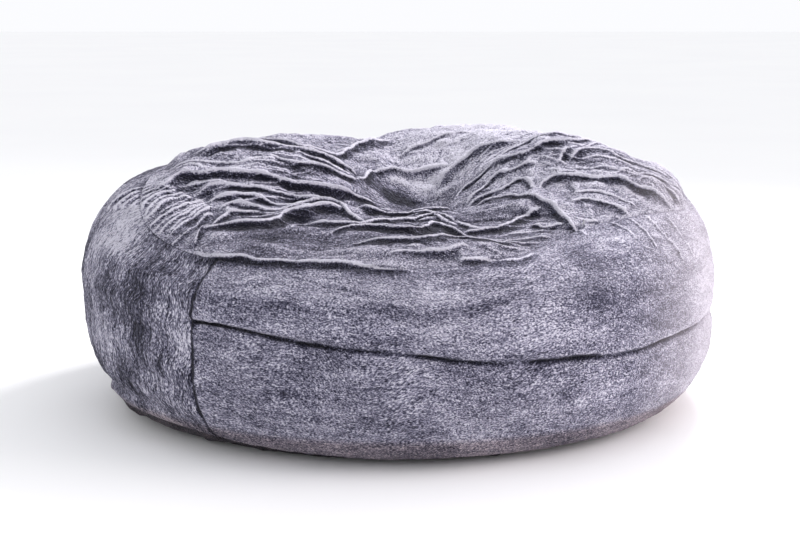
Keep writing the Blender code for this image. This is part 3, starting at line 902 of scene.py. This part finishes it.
def moulded_material(name, colour, metallic, roughness):
    """Painted or plated small part with worn patches and fine scratches."""
    made, tree, shader = new_material(name)
    place = object_place(tree)
    wear = link_noise(tree, place, 160.0, 5.0, 0.6, 0.5)
    scratches = link_noise(tree, place, 900.0, 2.0, 0.5, 0.0, (1.0, 0.1, 1.0))
    pale = tuple(min(1.0, part * 1.8 + 0.04) for part in colour)
    dull = tuple(part * 0.7 for part in colour)
    fill_inputs(tree, shader, {
        "Base Color": link_ramp(tree, wear, [(0.35, dull), (0.52, colour), (0.72, pale)]),
        "Roughness": link_math(tree, "MULTIPLY_ADD", scratches, 0.25, roughness - 0.12),
        "Metallic": metallic,
    })
    link_bump(tree, shader, scratches, 0.0002, 0.3)
    return made


def foam_material(name):
    """Shredded foam: chips of a few pale colours with painted shade in the gaps between them."""
    made, tree, shader = new_material(name)
    place = object_place(tree)
    sizes = {"Vector": place, "Scale": 55.0}
    chips = add_node(tree, "ShaderNodeTexVoronoi", sizes).outputs["Color"]
    gaps = add_node(tree, "ShaderNodeTexVoronoi", sizes, feature="DISTANCE_TO_EDGE").outputs["Distance"]
    tones = link_ramp(tree, link_math(tree, "MULTIPLY", chips, 1.0), [
        (0.2, (0.72, 0.66, 0.50)), (0.5, (0.85, 0.82, 0.72)), (0.8, (0.55, 0.62, 0.70))])
    # Painted shade in the gaps between chips
    shade = link_ramp(tree, gaps, [(0.0, (0.25, 0.23, 0.2)), (0.12, 1.0)])
    cells = link_noise(tree, place, 700.0, 3.0)
    colour = link_mix(tree, 1.0, tones, shade, "MULTIPLY")
    fill_inputs(tree, shader, {"Base Color": colour, "Roughness": 0.95})
    depth = link_math(tree, "ADD", gaps, link_math(tree, "MULTIPLY", cells, 0.2))
    link_bump(tree, shader, depth, 0.004, 0.8)
    return made


# ---- pieces of the cover

def column_at(degrees):
    """Column of the finishing wall at an angle; its columns start at -45 degrees."""
    return round((degrees + 45.0) % 360.0 * 4 * GRID[0] / 360.0)


def seam_depth(points, angle, crease_row):
    """How far the wall is pulled in along its stitched seams."""
    degrees = np.degrees(angle) % 360.0
    rows = np.arange(points.shape[1])[None, :]
    depth = np.zeros(points.shape[:2])
    drawn = 0.0036 + 0.0014 * np.sin(rows * 0.35 + 1.2) * np.cos(rows * 0.13)
    for seam in (BACK_EDGE, LEFT_START, LEFT_END):
        off = ((degrees - seam + 180.0) % 360.0 - 180.0)[:, None]
        depth = np.maximum(depth, drawn * np.exp(-(off / 0.30) ** 2))
    banded = 1.0 - between(angle, LEFT_START, LEFT_END, 1.0)[:, None]
    crease = 0.009 * np.exp(-((rows - crease_row) / 1.1) ** 2) * banded * pinch(angle)[:, None]
    depth = np.maximum(depth, crease)
    depth = np.maximum(depth, 0.0015 * np.exp(-((rows - rows.max()) / 1.2) ** 2))
    return depth * ease(rows / 4.0)


def shut_ends(points, angle, row, toward):
    """Bring a band's cut edge back to the crease past both ends of the zip."""
    beyond = (1.0 - between(angle, COVER_ZIP_START, COVER_ZIP_END, 0.8))[:, None]
    moved = points.copy()
    for step in range(5):
        here = row - toward * (4 - step)
        ahead = abs(row - GRID[1]) * step / 4.0
        whole = min(int(ahead), abs(row - GRID[1]) - 1)
        near_row = points[:, here + toward * whole]
        far_row = points[:, here + toward * (whole + 1)]
        target = near_row + (ahead - whole) * (far_row - near_row)
        moved[:, here] += beyond * (target - points[:, here])
    return moved


def build_cover(top, wall, edge):
    """Top panel, left panel and the four bands."""
    quarter, lower_rows, upper_rows = GRID
    last = lower_rows + upper_rows
    angle = wall.angle[:, 0]
    top_light_and_shade = painted_light_and_shade(top)
    # Painted shade along the stitched seams and the level crease, darker where each is drawn in further
    wall_light_and_shade = painted_light_and_shade(wall) - 260.0 * seam_depth(wall.points, angle, lower_rows)
    rows = np.arange(last + 1)[None, :]
    fade = ease(rows / 4.0) * ease((last - rows) / 3.0) * np.ones((4 * quarter, 1))
    pile = wall_pile(wall.home.astype(float), angle)
    wall_points = tufted(wall.points.astype(float), pile, fade, True)
    wall_points -= seam_depth(wall_points, angle, lower_rows)[..., None] * grid_normals(wall_points, True)
    share = np.abs(np.linspace(-1.0, 1.0, quarter + 1))
    share = np.maximum(share[:, None], share[None, :])
    x, y = top.home[..., 0], top.home[..., 1]
    swirl = 0.05 * layered_noise(x * 2.0, y * 2.0, SEED + 60, 2)
    top_pile = np.stack([y + swirl, x - swirl, top.points[..., 2]], axis=-1)
    top_points = tufted(top.points.astype(float), top_pile, ease((1.0 - share) * quarter / 6.0), False)
    top_points[edge] = wall_points[:, -1]
    pieces = {"cover_top": grid_mesh("cover_top", top_points, top_pile, top_light_and_shade)}
    below = lower_rows - ZIP_ROWS
    above = lower_rows + ZIP_ROWS
    bands = (
        ("cover_left", LEFT_START, LEFT_END, 0, last),
        ("cover_front_lower", LEFT_END, BACK_EDGE, 0, lower_rows),
        ("cover_front_upper", LEFT_END, BACK_EDGE, lower_rows, last),
        ("cover_back_lower", BACK_EDGE, LEFT_START, 0, below),
        ("cover_back_upper", BACK_EDGE, LEFT_START, above, last),
    )
    for name, start, end, low, high in bands:
        first = column_at(start)
        count = (column_at(end) - first) % (4 * quarter) + 1
        columns = (first + np.arange(count)) % (4 * quarter)
        points = wall_points
        if name == "cover_back_lower":
            points = shut_ends(wall_points, angle, high, 1)
        elif name == "cover_back_upper":
            points = shut_ends(wall_points, angle, low, -1)
        rows = slice(low, high + 1)
        pieces[name] = grid_mesh(
            name, points[columns][:, rows], pile[columns][:, rows], wall_light_and_shade[columns][:, rows])
    for name, piece in pieces.items():
        piece.data.materials.append(fur_material(*FURS[name]))
    return pieces, wall_points


def build_base(wall_points):
    """Base panel: gathered into the wall all round, flat where it rests on the floor."""
    seam = wall_points[:, 0]
    angle = np.arctan2(seam[:, 1], seam[:, 0])
    radius = np.hypot(seam[:, 0], seam[:, 1])
    around = np.arange(len(seam)) / len(seam) * 64.0
    rings = []
    piles = []
    # Share of the way in, share of the drop, depth of the pleats
    strip = (
        (0.0, 0.0, 0.0), (0.04, 0.12, 1.0), (0.12, 0.30, 1.0), (0.35, 0.62, 1.0), (0.65, 0.86, 0.7),
        (1.0, 1.0, 0.2))
    for share, drop, pleat in strip:
        wave = value_noise(around * 2.0, around * 0.0 + share * 3.0, SEED + 70, 128)
        r = radius + (FOOT_RADIUS - radius) * share - 0.0035 * pleat * wave
        z = FLOOR_GAP + (seam[:, 2] - FLOOR_GAP) * (1.0 - drop) + 0.002 * pleat * (wave - wave.min())
        rings.append(round_points(r, angle, z))
        piles.append(np.stack([angle * 0.8, np.full_like(angle, 0.12 * share), z], axis=-1))
    for share in (0.8, 0.5, 0.25, 0.04):
        r = np.full_like(angle, FOOT_RADIUS * share)
        z = np.full_like(angle, FLOOR_GAP)
        rings.append(round_points(r, angle, z))
        piles.append(rings[-1])
    points = np.stack(rings, axis=1)
    piece = grid_mesh("cover_base", points, np.stack(piles, axis=1), np.zeros(points.shape[:2]), True)
    piece.data.flip_normals()
    # Darker, browner plush for the base: partly its own colour, partly painted shade near the floor
    piece.data.materials.append(fur_material("base_plush", (0.42, 0.37, 0.34), -0.20, 0.4, 0.8))
    return piece


# ---- liner, foam and zips

def inner_band(body, low, high, rows, start, end):
    """Part of the liner's wall between two profile distances and two angles."""
    angle = np.radians(np.linspace(start, end, max(2, round((end - start) / 1.5)) + 1))
    place = (angle % (2.0 * np.pi)) / (2.0 * np.pi) * body.count
    column = np.round(place).astype(int) % body.count
    share = np.linspace(0.0, 1.0, rows + 1)[None, :]
    distance = low[column][:, None] * (1.0 - share) + high[column][:, None] * share
    radius, height = body.place(np.repeat(column[:, None], rows + 1, axis=1), distance)
    points = to_points(radius, height, angle[:, None])
    return points - LINER_DEPTH * grid_normals(points, False)


def plain_grid(name, points, wrap=False):
    """Mesh over a grid of points, with no painted light or shade."""
    return grid_mesh(name, points, points, np.zeros(points.shape[:2]), wrap)


def clear_of_zip(points):
    """The inner bag pressed in where the cover's slider runs past it."""
    radius = np.hypot(points[..., 0], points[..., 1])
    angle = np.degrees(np.arctan2(points[..., 1], points[..., 0]))
    limit = 0.886 + np.maximum(0.0, np.abs(points[..., 2] - ZIP_HEIGHT) - 0.02)
    beside = (angle > 26.0) & (angle < 136.0) & (radius > limit)
    scale = np.where(beside, limit / radius, 1.0)
    return points * np.stack([scale, scale, np.ones_like(scale)], axis=-1)


def build_liner(body):
    """Slippery inner bag: lid, front wall, two back walls either side of its zip, base."""
    base = np.zeros(body.count)
    zip_row = np.abs(body.z - LINER_ZIP_HEIGHT)
    zip_row[body.z.argmax(axis=0).min():] = 1.0
    zip_place = body.along[zip_row.argmin(axis=0), np.arange(body.count)]
    lid, _, _ = top_home(body, 72)
    front = inner_band(body, base, body.rim, 40, LINER_ZIP_END, LINER_ZIP_START + 360.0)
    low = inner_band(body, base, zip_place - 0.009, 14, LINER_ZIP_START, LINER_ZIP_END)
    high = inner_band(body, zip_place + 0.009, body.rim, 26, LINER_ZIP_START, LINER_ZIP_END)
    angle = body.angle[:, None]
    outer = (body.r[0] - LINER_DEPTH)[:, None]
    flat = 0.70 * np.linspace(1.0, 0.02, 12)[None, :] * np.ones_like(outer)
    reach = np.concatenate([outer, flat], axis=1)
    height = np.full(reach.shape, LINER_FLOOR)
    height[:, 0] = body.z[0] + 0.004
    floor = round_points(reach, angle, height)
    panels = {
        "liner_lid": lid - LINER_DEPTH * grid_normals(lid, False),
        "liner_wall_front": clear_of_zip(front),
        "liner_wall_back_lower": low,
        "liner_wall_back_upper": high,
        "liner_floor": floor,
    }
    pieces = {name: plain_grid(name, points, name == "liner_floor") for name, points in panels.items()}
    pieces["liner_floor"].data.flip_normals()
    cloth = woven_material("liner_cloth", (0.42, 0.43, 0.45), (0.78, 0.79, 0.80), 0.0009, 0.6)
    for piece in pieces.values():
        piece.data.materials.append(cloth)
    return pieces


def build_foam(body):
    """Shredded foam packed into the liner's shape, lumpy all over."""
    count = 110
    rows = np.linspace(0.0, 1.0, count)[None, :]
    column = np.repeat(np.arange(body.count)[:, None], count, axis=1)
    radius, height = body.place(column, rows * (body.total[:, None] - 0.002))
    points = to_points(radius, height, body.angle[:, None])
    points = points - FOAM_DEPTH * grid_normals(points, True)
    ray = body.angle[:, None]
    rings = 16
    reach = np.linspace(0.01, 0.69, rings)[None, :]
    height = np.full((body.count, rings), FOAM_FLOOR)
    floor = round_points(reach, ray, height)
    points = np.concatenate([floor, points], axis=1)
    points[..., 2] = np.maximum(points[..., 2], FOAM_FLOOR)
    place = rows * 40.0
    around = np.cos(ray) * 30.0
    beside = np.sin(ray) * 30.0
    lumps = np.zeros(points.shape[:2])
    lumps[:, rings:] = value_noise(around + place, beside - place, SEED + 80)
    lumps[:, rings:] += value_noise(beside, place, SEED + 81)
    dent = 0.0025 * (1.5 - np.clip(lumps, -1.5, 1.5)) * (lumps != 0.0)
    points -= dent[..., None] * grid_normals(points, True)
    piece = plain_grid("foam_chips", points, True)
    piece.data.materials.append(foam_material("shredded_foam"))
    return piece


def build_coil(name, radius, height, start, end, side, colour):
    """One half of a coil zip: a fine spiral of nylon wire along the tape's edge."""
    pitch, loop, wire = 0.0021, 0.00105, 0.00034
    turns = int(math.radians(end - start) * radius / pitch)
    steps = 6
    t = np.arange(turns * steps + 1)
    phase = t / steps * 2.0 * np.pi * side
    along = np.radians(start) + t / (turns * steps) * np.radians(end - start)
    middle = height + side * 0.0024
    reach = radius + loop * np.cos(phase)
    level = middle + loop * np.sin(phase)
    ring = np.arange(4) * 0.5 * np.pi
    out = np.cos(phase)[:, None] * np.cos(ring)[None, :] * wire
    up = np.sin(phase)[:, None] * np.cos(ring)[None, :] * wire
    slide = np.sin(ring)[None, :] * wire / radius
    points = round_points(reach[:, None] + out, along[:, None] + slide, level[:, None] + up)
    closed = np.concatenate([points, points[:, :1]], axis=1)
    piece = plain_grid(name, closed)
    piece.data.materials.append(colour)
    return piece


def finish_frame_nodes():
    """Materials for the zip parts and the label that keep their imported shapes."""
    tape = woven_material("zip_tape", (0.035, 0.034, 0.045), (0.10, 0.098, 0.125), 0.0008, 0.8)
    metal = moulded_material("zip_metal", (0.42, 0.42, 0.45), 0.9, 0.38)
    lacquer = moulded_material("zip_lacquer", (0.11, 0.11, 0.135), 0.6, 0.42)
    label = woven_material("label_satin", (0.70, 0.69, 0.67), (0.88, 0.87, 0.85), 0.0006, 0.45)
    chosen = {
        tape: [f"{layer}_zip_tape_{half}" for layer in ("cover", "liner") for half in ("upper", "lower")],
        metal: [f"cover_zip_{item}" for item in (
            "slider", "pull_tab", "top_stop_upper", "top_stop_lower", "bottom_stop")],
        lacquer: ["liner_zip_slider"],
        label: ["cover_care_label"],
    }
    for finish, nodes in chosen.items():
        for node in nodes:
            shape = bpy.data.objects[node]
            shape.data.materials.clear()
            shape.data.materials.append(finish)


# ---- stage, lamps and camera

def build_stage():
    """Pale floor that runs back to a pale wall of light."""
    mesh = bpy.data.meshes.new("studio_floor")
    side = 40.0
    corners = [(-side, -side, 0.0), (side, -side, 0.0), (side, side, 0.0), (-side, side, 0.0)]
    mesh.from_pydata(corners, [], [(0, 1, 2, 3)])
    floor = new_object("studio_floor", mesh)
    made, tree, shader = new_material("studio_white")
    mottle = link_noise(tree, object_place(tree), 0.6, 2.0)
    white = link_ramp(tree, mottle, [(0.3, (0.945, 0.945, 0.95)), (0.7, 0.965)])
    fill_inputs(tree, shader, {"Base Color": white, "Roughness": 0.9})
    mesh.materials.append(made)
    world = bpy.context.scene.world or bpy.data.worlds.new("studio")
    bpy.context.scene.world = world
    world.use_nodes = True
    backdrop = world.node_tree.nodes["Background"]
    fill_inputs(world.node_tree, backdrop, {"Color": (0.97, 0.975, 1.0, 1.0), "Strength": WORLD_LIGHT})
    bpy.context.scene.view_settings.view_transform = "Standard"


def lamp(name, place, size, power, colour):
    """Square area lamp aimed at the bag."""
    data = bpy.data.lights.new(name, "AREA")
    data.size = size
    data.energy = power
    data.color = colour
    made = new_object(name, data)
    made.location = place
    made.rotation_euler = (Vector(LAMP_AIM) - Vector(place)).to_track_quat("-Z", "Y").to_euler()


def build_camera():
    """Camera at the photo's height and distance, looking slightly down."""
    data = bpy.data.cameras.new("camera")
    camera = new_object("camera", data)
    camera.location = CAMERA_PLACE
    camera.rotation_euler = (math.radians(90.0 - CAMERA_TILT), 0.0, 0.0)
    data.sensor_width = 36.0
    data.lens = CAMERA_LENS
    bpy.context.scene.camera = camera


# ---- putting it together

build_camera()
build_stage()
for settings in LAMPS:
    lamp(*settings)

top, wall, edge = fold_cover()
covers, wall_points = build_cover(top, wall, edge)
base = build_base(wall_points)
body = Body(240)
liners = build_liner(body)
foam = build_foam(body)
wire = moulded_material("zip_wire", (0.06, 0.058, 0.075), 0.0, 0.45)
coils = {}
for layer, radius, height, span in (
    ("cover", COVER_ZIP_RADIUS, ZIP_HEIGHT, COVER_COIL),
    ("liner", LINER_ZIP_RADIUS, LINER_ZIP_HEIGHT, LINER_COIL),
):
    for half, side in (("upper", 1), ("lower", -1)):
        name = f"{layer}_coil_{half}"
        coils[name] = build_coil(name, radius, height, *span, side, wire)
finish_frame_nodes()

for piece in [*covers.values(), base, *liners.values(), foam, *coils.values()]:
    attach(piece, "bag")

# Each cloth panel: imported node, flat size it is cut to in metres, how it is held, what it rests on
PANELS = {
    "cover_top": ("cover_top_panel", (1.95, 1.90), "gathered", "liner_lid"),
    "cover_left": ("cover_left_panel", (1.62, 0.72), "stretched", "liner_wall_front"),
    "cover_front_lower": ("cover_front_lower_band", (2.50, 0.34), "stretched", "liner_wall_front"),
    "cover_front_upper": ("cover_front_upper_band", (2.50, 0.32), "stretched", "liner_wall_front"),
    "cover_back_lower": ("cover_back_lower_band", (1.62, 0.34), "stretched", "liner_wall_back_lower"),
    "cover_back_upper": ("cover_back_upper_band", (1.62, 0.30), "stretched", "liner_wall_back_upper"),
    "cover_base": ("cover_base_panel", (1.60, 1.60), "laid", "liner_floor"),
    "liner_lid": ("liner_top_panel", (1.85, 1.85), "stretched", "foam_chips"),
    "liner_wall_front": ("liner_front_wall", (4.66, 0.64), "stretched", "foam_chips"),
    "liner_wall_back_lower": ("liner_back_lower_wall", (0.94, 0.26), "stretched", "foam_chips"),
    "liner_wall_back_upper": ("liner_back_upper_wall", (0.94, 0.37), "stretched", "foam_chips"),
    "liner_floor": ("liner_base_panel", (1.48, 1.48), "laid", "foam_chips"),
}

for name, (node, flat, held, under) in PANELS.items():
    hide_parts(node)
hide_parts("foam_fill")
for name, coil in coils.items():
    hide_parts(name.replace("coil", "zip_coil"))
